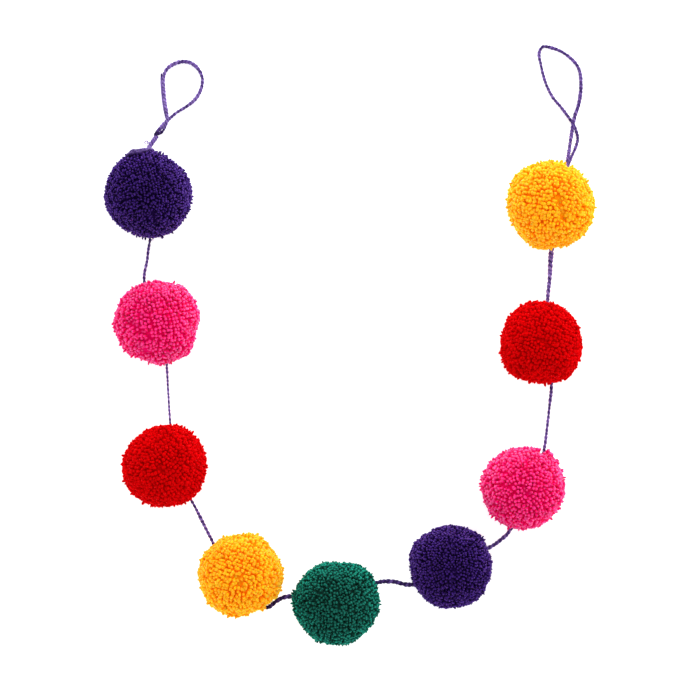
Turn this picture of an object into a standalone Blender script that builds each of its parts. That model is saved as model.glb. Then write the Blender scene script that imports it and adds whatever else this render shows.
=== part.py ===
"""A garland of nine cut-yarn pompoms on a twisted cord, lying on a flat surface in an open U.

Metres, +Z up. The pompoms stand on z = 0, the photo's right is +X and its top is +Y, and the origin is
the middle of the pompoms' footprint.
"""
import itertools
import math
import random

import bmesh
import bpy
from mathutils import Matrix, Vector

# The cord and what is tied in it. The tail is one ply of the two-ply cord.
CORD_DIAMETER = 0.0024
TAIL_DIAMETER = 0.0016
CAP_WELD = 0.00001
KNOT_PLACE = (-0.1565, 0.2137, 0.0042)
KNOT_SIZE = (0.0052, 0.0060, 0.0050)
KNOT_TURN = math.radians(-36)
KNOT_SEGMENTS = 12
KNOT_RINGS = 10
KNOT_RIDGE = 0.08
KNOT_TURNS = 3

# The pompoms: heights are shares of a pompom's mean diameter or radius, and a lock's rings of its length
CENTRE_HEIGHT_SHARE = 0.47
CORE_SHARE = 0.80
SHOULDER_SHARE = 0.93
CAP_RING_SHARE = 0.985
CAP_RING_NARROWING = 0.30
LOCK_GAP = 0.0018
LOCK_LENGTH_SPREAD = 0.02
FACES_DOWN = -0.99

# The channel that a cord runs in: the cord is eight-sided, so the channel clears it at its flats
REACH_SHARE = 1.06
CHANNEL_CLEARANCE = 0.0004
CHANNEL_DIAMETER = (CORD_DIAMETER + 2 * CHANNEL_CLEARANCE) / math.cos(math.pi / 8)

# One row for each pompom, from the left loop to the right loop: its place, its width in x, its depth in y
# and its turn about the vertical in degrees
POMPOM_COLUMNS = ("name", "yarn", "x", "y", "width", "depth", "turn")
POMPOM_ROWS = (
    ("pompom_purple_left", "purple", -0.1607, 0.1622, 0.0720, 0.0734, 10),
    ("pompom_pink_left", "pink", -0.1535, 0.0599, 0.0722, 0.0704, 47),
    ("pompom_red_left", "red", -0.1474, -0.0555, 0.0700, 0.0700, 83),
    ("pompom_yellow_left", "yellow", -0.0868, -0.1427, 0.0708, 0.0694, 25),
    ("pompom_green", "green", -0.0099, -0.1645, 0.0722, 0.0698, 90),
    ("pompom_purple_right", "purple", 0.0816, -0.1358, 0.0696, 0.0696, 5),
    ("pompom_pink_right", "pink", 0.1394, -0.0727, 0.0708, 0.0692, 72),
    ("pompom_red_right", "red", 0.1540, 0.0432, 0.0694, 0.0706, 38),
    ("pompom_yellow_right", "yellow", 0.1612, 0.1537, 0.0726, 0.0744, 90),
)

# Linear colours, roughness and metallic value
MATERIALS = {
    "purple": ((0.032, 0.010, 0.105), 0.95, 0.0),
    "pink": ((0.800, 0.024, 0.168), 0.95, 0.0),
    "red": ((0.515, 0.001, 0.002), 0.95, 0.0),
    "yellow": ((0.930, 0.397, 0.011), 0.95, 0.0),
    "green": ((0.008, 0.089, 0.063), 0.95, 0.0),
    "cord": ((0.110, 0.045, 0.260), 0.90, 0.0),
}

# Points along the cords, with the smooth curve through them read at STEPS_PER_SPAN steps between two points
STEPS_PER_SPAN = 2
MAIN_ROUTE = (
    (-0.1581, 0.2103, 0.0044),
    (-0.1632, 0.1992, 0.0150),
    (-0.1620, 0.1810, 0.0275),
    (-0.1606, 0.1620, 0.0330),
    (-0.1588, 0.1370, 0.0330),
    (-0.1587, 0.1270, 0.0325),
    (-0.1613, 0.1118, 0.0310),
    (-0.1642, 0.0932, 0.0320),
    (-0.1530, 0.0560, 0.0330),
    (-0.1468, 0.0360, 0.0325),
    (-0.1455, 0.0236, 0.0320),
    (-0.1445, 0.0019, 0.0305),
    (-0.1430, -0.0208, 0.0315),
    (-0.1400, -0.0600, 0.0320),
    (-0.1264, -0.0820, 0.0315),
    (-0.1180, -0.0983, 0.0300),
    (-0.1078, -0.1203, 0.0315),
    (-0.0950, -0.1385, 0.0320),
    (-0.0800, -0.1590, 0.0315),
    (-0.0667, -0.1695, 0.0305),
    (-0.0578, -0.1646, 0.0285),
    (-0.0495, -0.1605, 0.0295),
    (-0.0373, -0.1609, 0.0310),
    (-0.0090, -0.1650, 0.0325),
    (0.0196, -0.1500, 0.0320),
    (0.0344, -0.1480, 0.0305),
    (0.0522, -0.1501, 0.0320),
    (0.0814, -0.1375, 0.0320),
    (0.1114, -0.1223, 0.0320),
    (0.1217, -0.1154, 0.0308),
    (0.1300, -0.1073, 0.0315),
    (0.1407, -0.0830, 0.0320),
    (0.1556, -0.0462, 0.0320),
    (0.1603, -0.0150, 0.0304),
    (0.1630, 0.0101, 0.0315),
    (0.1575, 0.0380, 0.0320),
    (0.1594, 0.0778, 0.0320),
    (0.1614, 0.0961, 0.0310),
    (0.1626, 0.1164, 0.0320),
    (0.1630, 0.1410, 0.0330),
)
LEFT_LOOP_ROUTE = (
    (-0.1553, 0.2169, 0.0034),
    (-0.1515, 0.2215, 0.0022),
    (-0.1479, 0.2254, 0.0017),
    (-0.1408, 0.2310, 0.0016),
    (-0.1322, 0.2363, 0.0016),
    (-0.1252, 0.2422, 0.0016),
    (-0.1206, 0.2500, 0.0016),
    (-0.1194, 0.2590, 0.0016),
    (-0.1227, 0.2669, 0.0016),
    (-0.1288, 0.2718, 0.0016),
    (-0.1358, 0.2729, 0.0016),
    (-0.1434, 0.2706, 0.0016),
    (-0.1490, 0.2660, 0.0016),
    (-0.1511, 0.2590, 0.0016),
    (-0.1506, 0.2490, 0.0020),
    (-0.1495, 0.2390, 0.0030),
    (-0.1480, 0.2310, 0.0042),
    (-0.1476, 0.2253, 0.0047),
    (-0.1487, 0.2197, 0.0050),
    (-0.1506, 0.2163, 0.0050),
    (-0.1532, 0.2144, 0.0048),
)
LEFT_TAIL_ROUTE = (
    (-0.1535, 0.2630, 0.0012),
    (-0.1536, 0.2560, 0.0012),
    (-0.1529, 0.2460, 0.0012),
    (-0.1517, 0.2370, 0.0017),
    (-0.1502, 0.2295, 0.0028),
)
RIGHT_LOOP_ROUTE = (
    (0.1630, 0.1414, 0.0330),
    (0.1655, 0.1600, 0.0320),
    (0.1708, 0.1745, 0.0275),
    (0.1762, 0.1853, 0.0215),
    (0.1808, 0.1951, 0.0140),
    (0.1852, 0.2041, 0.0065),
    (0.1866, 0.2120, 0.0026),
    (0.1832, 0.2217, 0.0016),
    (0.1743, 0.2346, 0.0016),
    (0.1664, 0.2445, 0.0016),
    (0.1606, 0.2569, 0.0016),
    (0.1569, 0.2708, 0.0016),
    (0.1559, 0.2798, 0.0016),
    (0.1582, 0.2852, 0.0016),
    (0.1649, 0.2848, 0.0016),
    (0.1748, 0.2809, 0.0016),
    (0.1845, 0.2731, 0.0016),
    (0.1889, 0.2646, 0.0016),
    (0.1898, 0.2516, 0.0016),
    (0.1884, 0.2387, 0.0022),
    (0.1851, 0.2289, 0.0038),
    (0.1828, 0.2210, 0.0047),
    (0.1800, 0.2073, 0.0085),
    (0.1771, 0.1939, 0.0180),
    (0.1744, 0.1858, 0.0242),
    (0.1690, 0.1740, 0.0315),
)


def clear_scene():
    for thing in list(bpy.data.objects):
        bpy.data.objects.remove(thing)


def new_collection(name):
    collection = bpy.data.collections.new(name)
    bpy.context.scene.collection.children.link(collection)
    return collection


def yarn_material(name, yarn):
    colour, roughness, metallic = MATERIALS[yarn]
    material = bpy.data.materials.new(name)
    material.use_nodes = True
    shader = material.node_tree.nodes["Principled BSDF"]
    shader.inputs["Base Color"].default_value = (*colour, 1.0)
    shader.inputs["Roughness"].default_value = roughness
    shader.inputs["Metallic"].default_value = metallic
    return material


def add_object(name, mesh, collection, material):
    thing = bpy.data.objects.new(name, mesh)
    collection.objects.link(thing)
    mesh.materials.append(material)
    return thing


def smooth_points(route, steps=STEPS_PER_SPAN):
    """Points on the smooth (Catmull-Rom) curve that runs through every point of the route."""
    knots = [Vector(point) for point in route]
    padded = [2 * knots[0] - knots[1], *knots, 2 * knots[-1] - knots[-2]]
    points = []
    for before, start, end, after in zip(padded, padded[1:], padded[2:], padded[3:]):
        for step in range(steps):
            t = step / steps
            points.append(
                0.5
                * (
                    2 * start
                    + (end - before) * t
                    + (2 * before - 5 * start + 4 * end - after) * t**2
                    + (3 * start - before - 3 * end + after) * t**3
                )
            )
    points.append(knots[-1])
    return points


def tube_curve(name, points, diameter, collection):
    curve = bpy.data.curves.new(name, "CURVE")
    curve.dimensions = "3D"
    curve.bevel_depth = diameter / 2
    curve.bevel_resolution = 2
    curve.use_fill_caps = True
    spline = curve.splines.new("POLY")
    spline.points.add(len(points) - 1)
    for place, point in zip(spline.points, points):
        place.co = (*point, 1.0)
    tube = bpy.data.objects.new(name, curve)
    collection.objects.link(tube)
    return tube


def tube_mesh(name, points, diameter, collection):
    """A tube as a closed mesh: the curve's evaluated surface with its loose caps welded on."""
    tube = tube_curve(name + "_curve", points, diameter, collection)
    bpy.context.view_layer.update()
    evaluated = tube.evaluated_get(bpy.context.evaluated_depsgraph_get())
    mesh = bpy.data.meshes.new_from_object(evaluated)
    mesh.name = name
    shape = bmesh.new()
    shape.from_mesh(mesh)
    bmesh.ops.remove_doubles(shape, verts=shape.verts, dist=CAP_WELD)
    shape.to_mesh(mesh)
    shape.free()
    solid = bpy.data.objects.new(name, mesh)
    collection.objects.link(solid)
    solid.matrix_world = tube.matrix_world
    bpy.data.objects.remove(tube)
    return solid


def shade_round(thing, edge_angle=math.radians(40)):
    thing.data.shade_smooth()
    thing.data.set_sharp_from_angle(angle=edge_angle)


def rhombus_ball():
    """A unit ball of 30 four-sided faces: an icosahedron, poked, with its own edges dissolved."""
    ball = bmesh.new()
    bmesh.ops.create_icosphere(ball, subdivisions=1, radius=1.0)
    own_edges = list(ball.edges)
    bmesh.ops.poke(ball, faces=list(ball.faces))
    bmesh.ops.dissolve_edges(ball, edges=own_edges, use_verts=False)
    for vertex in ball.verts:
        vertex.co.normalize()
    ball.faces.ensure_lookup_table()
    down = ball.faces[0].calc_center_median()
    stand = down.rotation_difference(Vector((0, 0, -1))).to_matrix()
    bmesh.ops.rotate(ball, verts=ball.verts, cent=(0, 0, 0), matrix=stand)
    return ball


def set_ring(face, middle, radius, narrowing):
    """Draws a lock's ring of corners in towards the lock's middle, and out to its radius."""
    for vertex in face.verts:
        direction = vertex.co.normalized().lerp(middle, narrowing).normalized()
        vertex.co = direction * radius


def extrude_face(ball, face):
    return bmesh.ops.extrude_discrete_faces(ball, faces=[face])["faces"][0]


def grow_lock(ball, root, length):
    """Grows one lock of yarn from its root on the core: four walls, a shoulder and a low domed end."""
    middle = root.calc_center_median().normalized()
    shoulder = extrude_face(ball, root)
    set_ring(shoulder, middle, SHOULDER_SHARE * length, 0.0)
    end = extrude_face(ball, shoulder)
    set_ring(end, middle, CAP_RING_SHARE * length, CAP_RING_NARROWING)
    tip = bmesh.ops.poke(ball, faces=[end])["verts"][0]
    tip.co = middle * length
    return tip


def stand_on_floor(tip, floor):
    """Ends a lock flat at the floor's height, each corner moved along its own direction."""
    for vertex in [tip, *(edge.other_vert(tip) for edge in tip.link_edges)]:
        vertex.co *= floor / vertex.co.z


def pompom_mesh(row, radius, centre_height):
    chance = random.Random(row["name"])
    ball = rhombus_ball()
    bmesh.ops.scale(ball, verts=ball.verts, vec=(CORE_SHARE * radius,) * 3)
    roots = list(ball.faces)
    bmesh.ops.inset_individual(ball, faces=roots, thickness=LOCK_GAP / 2, use_even_offset=True)
    for root in roots:
        points_down = root.normal.z < FACES_DOWN
        if points_down:
            length = centre_height
        else:
            length = radius * (1 + chance.uniform(-1, 1) * LOCK_LENGTH_SPREAD)
        tip = grow_lock(ball, root, length)
        if points_down:
            stand_on_floor(tip, -centre_height)
    turn = Matrix.Rotation(math.radians(row["turn"]), 3, "Z")
    bmesh.ops.rotate(ball, verts=ball.verts, cent=(0, 0, 0), matrix=turn)
    stretch = (row["width"] / radius / 2, row["depth"] / radius / 2, 1.0)
    bmesh.ops.scale(ball, verts=ball.verts, vec=stretch)
    mesh = bpy.data.meshes.new(row["name"])
    ball.to_mesh(mesh)
    ball.free()
    return mesh


def past_end(inner, end):
    return end + (end - inner).normalized() * CHANNEL_CLEARANCE


def channel_stretches(centre, reach, cords):
    """Each run of a cord's points within reach of a ball's centre, carried just past the ball or the cord's end."""
    stretches = []
    for points in cords:
        numbers = range(len(points))
        for is_inside, run in itertools.groupby(numbers, key=lambda n: (points[n] - centre).length < reach):
            if not is_inside:
                continue
            run = list(run)
            stretch = points[max(run[0] - 1, 0) : run[-1] + 2]
            if run[0] == 0:
                stretch = [past_end(stretch[1], stretch[0]), *stretch]
            if run[-1] == numbers[-1]:
                stretch = [*stretch, past_end(stretch[-2], stretch[-1])]
            stretches.append(stretch)
    return stretches


def cut_channel(thing, name, points, cutters):
    cutter = tube_mesh(name, points, CHANNEL_DIAMETER, cutters)
    cutter.hide_render = True
    cutter.display_type = "WIRE"
    cut = thing.modifiers.new(name, "BOOLEAN")
    cut.operation = "DIFFERENCE"
    cut.solver = "EXACT"
    cut.object = cutter


def pompom(row, cords, parts, cutters):
    """A pompom: a core of bound yarn with its cut locks standing out of it, and a channel for its cord."""
    radius = (row["width"] + row["depth"]) / 4
    centre_height = CENTRE_HEIGHT_SHARE * 2 * radius
    mesh = pompom_mesh(row, radius, centre_height)
    thing = add_object(row["name"], mesh, parts, yarn_material(row["name"], row["yarn"]))
    thing.location = (row["x"], row["y"], centre_height)
    shade_round(thing)
    stretches = channel_stretches(Vector(thing.location), REACH_SHARE * radius, cords)
    for number, points in enumerate(stretches):
        cut_channel(thing, f"{row['name']}_channel_{number}", points, cutters)


def knot(parts):
    """The knot of the left loop: a small lump with ridges where the cord's turns lie."""
    shape = bmesh.new()
    bmesh.ops.create_uvsphere(shape, u_segments=KNOT_SEGMENTS, v_segments=KNOT_RINGS, radius=0.5)
    for vertex in shape.verts:
        ridge = 1 + KNOT_RIDGE * math.cos(2 * math.pi * KNOT_TURNS * vertex.co.y)
        vertex.co.x *= ridge
        vertex.co.z *= ridge
    bmesh.ops.scale(shape, verts=shape.verts, vec=KNOT_SIZE)
    mesh = bpy.data.meshes.new("knot_left")
    shape.to_mesh(mesh)
    shape.free()
    thing = add_object("knot_left", mesh, parts, yarn_material("knot_left", "cord"))
    thing.location = KNOT_PLACE
    thing.rotation_euler = (0, 0, KNOT_TURN)
    shade_round(thing)


def cord(name, points, diameter, parts):
    tube_curve(name, points, diameter, parts).data.materials.append(yarn_material(name, "cord"))


def main():
    clear_scene()
    parts = new_collection("pompom_garland")
    cutters = new_collection("cutters")
    main_points = smooth_points(MAIN_ROUTE)
    right_points = smooth_points(RIGHT_LOOP_ROUTE)
    cord("cord_main", main_points, CORD_DIAMETER, parts)
    cord("loop_left", smooth_points(LEFT_LOOP_ROUTE), CORD_DIAMETER, parts)
    cord("tail_left", smooth_points(LEFT_TAIL_ROUTE), TAIL_DIAMETER, parts)
    cord("loop_right", right_points, CORD_DIAMETER, parts)
    knot(parts)
    for values in POMPOM_ROWS:
        row = dict(zip(POMPOM_COLUMNS, values))
        pompom(row, (main_points, right_points), parts, cutters)


main()
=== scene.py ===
import math

import bmesh
import bpy
import numpy as np
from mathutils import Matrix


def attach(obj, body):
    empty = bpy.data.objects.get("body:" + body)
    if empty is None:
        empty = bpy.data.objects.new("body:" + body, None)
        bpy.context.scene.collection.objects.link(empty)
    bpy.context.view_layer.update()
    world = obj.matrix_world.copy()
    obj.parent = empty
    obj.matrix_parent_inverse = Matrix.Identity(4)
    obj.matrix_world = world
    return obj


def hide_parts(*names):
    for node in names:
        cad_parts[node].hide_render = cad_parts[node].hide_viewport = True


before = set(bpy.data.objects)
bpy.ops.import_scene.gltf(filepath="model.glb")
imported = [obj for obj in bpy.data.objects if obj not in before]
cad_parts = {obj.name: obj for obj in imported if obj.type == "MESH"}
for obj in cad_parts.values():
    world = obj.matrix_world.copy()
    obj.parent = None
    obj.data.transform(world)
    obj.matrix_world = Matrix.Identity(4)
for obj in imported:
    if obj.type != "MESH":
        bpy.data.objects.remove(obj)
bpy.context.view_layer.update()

# A garland of nine cut-yarn pompoms on a twisted cord, seen from straight above. Metres, +Z up.
MM = 0.001
BODY = "root"

# The camera looks straight down, with the photo's top along +Y
CAMERA_PLACE = (0.0008, 0.0376, 1.635)
CAMERA_TO_PICTURE = 1.600
CAMERA_CLIP = (0.05, 20.0)
PICTURE_WIDTH = 0.560
SENSOR_WIDTH = 36.0

# The cord: routes in metres, as in the part's source
MAIN_ROUTE = (
    (-0.1581, 0.2103, 0.0044), (-0.1632, 0.1992, 0.0150), (-0.1620, 0.1810, 0.0275),
    (-0.1606, 0.1620, 0.0330), (-0.1588, 0.1370, 0.0330), (-0.1587, 0.1270, 0.0325),
    (-0.1613, 0.1118, 0.0310), (-0.1642, 0.0932, 0.0320), (-0.1530, 0.0560, 0.0330),
    (-0.1468, 0.0360, 0.0325), (-0.1455, 0.0236, 0.0320), (-0.1445, 0.0019, 0.0305),
    (-0.1430, -0.0208, 0.0315), (-0.1400, -0.0600, 0.0320), (-0.1264, -0.0820, 0.0315),
    (-0.1180, -0.0983, 0.0300), (-0.1078, -0.1203, 0.0315), (-0.0950, -0.1385, 0.0320),
    (-0.0800, -0.1590, 0.0315), (-0.0667, -0.1695, 0.0305), (-0.0578, -0.1646, 0.0285),
    (-0.0495, -0.1605, 0.0295), (-0.0373, -0.1609, 0.0310), (-0.0090, -0.1650, 0.0325),
    (0.0196, -0.1500, 0.0320), (0.0344, -0.1480, 0.0305), (0.0522, -0.1501, 0.0320),
    (0.0814, -0.1375, 0.0320), (0.1114, -0.1223, 0.0320), (0.1217, -0.1154, 0.0308),
    (0.1300, -0.1073, 0.0315), (0.1407, -0.0830, 0.0320), (0.1556, -0.0462, 0.0320),
    (0.1603, -0.0150, 0.0304), (0.1630, 0.0101, 0.0315), (0.1575, 0.0380, 0.0320),
    (0.1594, 0.0778, 0.0320), (0.1614, 0.0961, 0.0310), (0.1626, 0.1164, 0.0320),
    (0.1630, 0.1410, 0.0330),
)
LEFT_LOOP_ROUTE = (
    (-0.1553, 0.2169, 0.0034), (-0.1515, 0.2215, 0.0022), (-0.1479, 0.2254, 0.0017),
    (-0.1408, 0.2310, 0.0016), (-0.1322, 0.2363, 0.0016), (-0.1252, 0.2422, 0.0016),
    (-0.1206, 0.2500, 0.0016), (-0.1194, 0.2590, 0.0016), (-0.1227, 0.2669, 0.0016),
    (-0.1288, 0.2718, 0.0016), (-0.1358, 0.2729, 0.0016), (-0.1434, 0.2706, 0.0016),
    (-0.1490, 0.2660, 0.0016), (-0.1511, 0.2590, 0.0016), (-0.1506, 0.2490, 0.0020),
    (-0.1495, 0.2390, 0.0030), (-0.1480, 0.2310, 0.0042), (-0.1476, 0.2253, 0.0047),
    (-0.1487, 0.2197, 0.0050), (-0.1506, 0.2163, 0.0050), (-0.1532, 0.2144, 0.0048),
)
LEFT_TAIL_ROUTE = (
    (-0.1535, 0.2630, 0.0012), (-0.1536, 0.2560, 0.0012), (-0.1529, 0.2460, 0.0012),
    (-0.1517, 0.2370, 0.0017), (-0.1502, 0.2295, 0.0028),
)
RIGHT_LOOP_ROUTE = (
    (0.1630, 0.1414, 0.0330), (0.1655, 0.1600, 0.0320), (0.1708, 0.1745, 0.0275),
    (0.1762, 0.1853, 0.0215), (0.1808, 0.1951, 0.0140), (0.1852, 0.2041, 0.0065),
    (0.1866, 0.2120, 0.0026), (0.1832, 0.2217, 0.0016), (0.1743, 0.2346, 0.0016),
    (0.1664, 0.2445, 0.0016), (0.1606, 0.2569, 0.0016), (0.1569, 0.2708, 0.0016),
    (0.1559, 0.2798, 0.0016), (0.1582, 0.2852, 0.0016), (0.1649, 0.2848, 0.0016),
    (0.1748, 0.2809, 0.0016), (0.1845, 0.2731, 0.0016), (0.1889, 0.2646, 0.0016),
    (0.1898, 0.2516, 0.0016), (0.1884, 0.2387, 0.0022), (0.1851, 0.2289, 0.0038),
    (0.1828, 0.2210, 0.0047), (0.1800, 0.2073, 0.0085), (0.1771, 0.1939, 0.0180),
    (0.1744, 0.1858, 0.0242), (0.1690, 0.1740, 0.0315),
)

# Where the drawn cords run on to, past the ends of their routes
MAIN_START = ((-0.1575, 0.2122, 0.0045),)
LEFT_LOOP_START = ((-0.1562, 0.2152, 0.0040),)
LEFT_LOOP_END = ((-0.1558, 0.2134, 0.0046),)
LEFT_TAIL_END = ((-0.1487, 0.2262, 0.0040),)

# How each cord looks along its route. At a place on the route (the number of its point, from 0): the cord's
# width over both plies and the gap open between them, in mm; how light it is drawn, from 0 to 1; and how far it is
# drawn to the right of the route, in mm
MAIN_LOOK = (
    (0, 4.2, 0.0, 0.62, 0.0), (0.5, 4.3, 0.0, 0.68, -0.2), (1, 4.1, 0.0, 0.72, -0.6),
    (2, 3.4, 0.0, 0.75, 0.0), (3, 2.8, 0.0, 0.60, 0.0), (4.5, 2.3, 0.0, 0.40, 0.6),
    (5.6, 2.5, 0.0, 0.56, 0.7), (6, 2.7, 0.0, 0.68, 0.3), (6.5, 2.7, 0.0, 0.68, -0.7),
    (7, 2.9, 0.0, 0.58, -0.1), (9, 2.3, 0.0, 0.50, 0.3), (10, 2.3, 0.0, 0.70, 0.5),
    (11, 2.0, 0.0, 0.75, 0.4), (12, 2.1, 0.0, 0.70, 0.4), (13, 2.2, 0.0, 0.50, 0.2),
    (14, 2.6, 0.0, 0.54, 0.5), (14.6, 2.6, 0.0, 0.60, 0.5), (15, 3.2, 0.6, 0.70, 0.5),
    (15.3, 2.8, 0.0, 0.66, 0.2), (15.7, 3.0, 0.0, 0.62, -0.5), (17, 2.8, 0.0, 0.30, -0.2),
    (19.5, 3.8, 0.0, 0.22, -0.7), (20.3, 4.1, 0.0, 0.28, -0.7), (21, 4.2, 0.0, 0.36, 0.0),
    (22, 3.9, 0.0, 0.32, 0.0), (24, 3.8, 0.0, 0.34, 0.0), (25, 4.0, 0.0, 0.34, 0.1),
    (26, 3.9, 0.0, 0.34, 0.0), (28, 3.4, 0.0, 0.52, -0.9), (29, 3.6, 0.0, 0.60, -0.6),
    (29.7, 3.4, 0.0, 0.60, -1.1), (30.5, 3.5, 0.0, 0.60, -0.8), (32, 2.9, 0.0, 0.66, -0.2),
    (32.5, 2.8, 0.0, 0.68, -0.5), (33, 2.5, 0.0, 0.68, -0.2), (33.5, 2.9, 0.0, 0.60, -0.9),
    (34, 3.1, 0.0, 0.60, -0.8), (36, 3.2, 0.0, 0.68, -0.2), (37, 3.4, 0.4, 0.76, -0.4),
    (37.6, 3.9, 0.6, 0.76, -0.8), (38, 4.0, 0.6, 0.74, -0.5), (39, 3.4, 0.0, 0.65, 0.0),
)
LEFT_LOOP_LOOK = (
    (0, 3.4, 0.0, 0.50, 0.0), (1, 3.9, 0.0, 0.90, 0.1), (2, 3.2, 0.0, 0.75, 0.0),
    (3, 2.5, 0.0, 0.60, -0.4), (4, 3.0, 0.0, 0.66, -0.5), (5, 3.4, 0.0, 0.75, -0.4),
    (6, 3.3, 0.0, 0.70, -0.5), (7, 2.6, 0.0, 0.50, -0.3), (8, 3.4, 0.0, 0.70, -0.3),
    (10, 3.7, 0.0, 0.60, 0.2), (12, 3.4, 0.0, 0.80, 0.4), (13, 2.8, 0.0, 0.80, 0.4),
    (14, 2.6, 0.0, 0.90, 0.3), (16, 2.7, 0.0, 0.90, 0.4), (17, 2.7, 0.0, 0.75, 0.5),
    (18, 2.0, 0.0, 0.60, 0.9), (19, 2.2, 0.0, 0.40, 0.8), (20, 2.9, 0.0, 0.30, 0.3),
    (21, 3.2, 0.0, 0.15, 0.0),
)
LEFT_TAIL_LOOK = (
    (0, 1.9, 0.0, 0.20, -0.5), (0.4, 1.9, 0.0, 0.60, -0.5), (1, 2.0, 0.0, 0.75, -0.6),
    (3, 2.2, 0.0, 0.80, -0.6), (4, 2.0, 0.0, 0.70, -0.5), (5, 1.6, 0.0, 0.60, 0.0),
)
RIGHT_LOOP_LOOK = (
    (0, 2.6, 0.0, 0.60, 0.0), (3, 2.8, 0.0, 0.60, -0.1), (5, 2.9, 0.0, 0.55, -0.2),
    (7, 2.9, 0.0, 0.50, 0.0), (8, 2.8, 0.0, 0.62, -0.1), (9.7, 2.8, 0.0, 0.62, -0.4),
    (11, 2.6, 0.0, 0.62, -0.2), (12, 3.0, 0.0, 0.60, -0.7), (13, 2.8, 0.0, 0.50, 0.0),
    (14, 3.2, 0.0, 0.50, 0.3), (15, 2.8, 0.0, 0.55, 0.3), (16, 3.1, 0.0, 0.60, 0.5),
    (17, 3.1, 0.0, 0.60, 0.4), (18, 3.5, 0.0, 0.55, 0.4), (19, 3.5, 0.0, 0.55, 0.8),
    (20, 3.5, 0.0, 0.55, 0.8), (21.3, 3.4, 0.0, 0.60, 0.1), (22, 3.3, 0.0, 0.60, 0.0),
    (24, 3.3, 0.0, 0.65, 0.0), (25, 2.8, 0.0, 0.60, 0.0),
)

# The knot below the left loop: its middle, half length, half width at the low and the high end, the way it lies
# and its turns; then its yarn's looks, with the columns of the cords' looks
KNOT_PLACE = (-0.1568, 0.2146, 0.0042)
KNOT_REACH = 0.0024
KNOT_RADII = (0.0013, 0.0007)
KNOT_TURN = math.radians(-27)
KNOT_WINDS = 2.6
KNOT_LOOK = ((0, 1.6, 0.0, 0.10, 0.0), (20, 1.8, 0.0, 0.25, 0.0), (45, 1.5, 0.0, 0.50, 0.0))

# The cut end that stands out of the knot, and the loose end that lies over the top of the first pompom
CUT_END_ROUTE = (
    (-0.1571, 0.2142, 0.0050),
    (-0.1566, 0.2126, 0.0052),
    (-0.1561, 0.2114, 0.0048),
    (-0.1557, 0.2104, 0.0042),
)
CUT_END_LOOK = ((0, 1.3, 0.0, 0.5, 0.0), (3, 1.7, 0.0, 0.45, 0.0))

# The route of the loose end's first strand: degrees round the first pompom, reach from its middle in plan and
# height over its middle, in mm; then how far each next strand lies further in and higher, in mm
LOOSE_END = (
    (86.0, 36.2, -15.0, 0.0, 0.0),
    (87.0, 36.6, -4.0, 0.2, 0.0),
    (90.0, 36.2, 4.0, 0.4, 1.4),
    (96.0, 35.9, 6.5, 0.65, 2.2),
    (103.0, 36.2, 7.0, 0.7, 2.3),
    (109.0, 36.9, 6.0, 0.7, 2.3),
    (113.0, 36.3, 5.0, 0.6, 2.1),
    (117.0, 34.8, 4.0, 0.4, 1.6),
    (120.0, 32.6, 3.0, 0.3, 1.0),
)
LOOSE_STRANDS = 7
LOOSE_HAIRS = 160

# The small curl of fluff beside the cord there: where it leaves the cord, its middle, radius, thickness, turns and
# number of fibres, its rise in mm, its steps and how far apart its fibres lie
CURL_START = (-0.1632, 0.2043, 0.0106)
CURL_PLACE = (-0.1646, 0.2062, 0.0110)
CURL_RADIUS = 0.0014
CURL_THICKNESS = 0.00011
CURL_TURNS = 1.3
CURL_FIBRES = 4
CURL_RISE = (-0.6, 0.9)
CURL_STEPS = 18
CURL_SPACING = 0.4 * MM
CURL_SPREAD = 0.2 * MM

# Wisps of yarn that stand off the cord: place, the way they lean, how many fibres, their reach in mm and how
# widely they fan out
WISPS = (
    ((-0.1535, 0.2626, 0.0014), (0.0, 1.0, 0.1), 26, 2.2, 0.5),
    ((-0.1583, 0.1262, 0.0330), (0.7, -0.7, 0.2), 20, 1.8, 0.6),
    ((-0.1490, 0.2262, 0.0050), (-0.8, 0.4, 0.4), 16, 1.8, 0.7),
    ((-0.1618, 0.2064, 0.0100), (-0.95, -0.3, 0.2), 12, 1.7, 0.6),
    ((0.1766, 0.1902, 0.0190), (-0.2, 0.5, 0.6), 16, 1.6, 0.8),
    ((0.1830, 0.2216, 0.0050), (0.9, 0.2, 0.3), 18, 1.8, 0.8),
)

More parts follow.
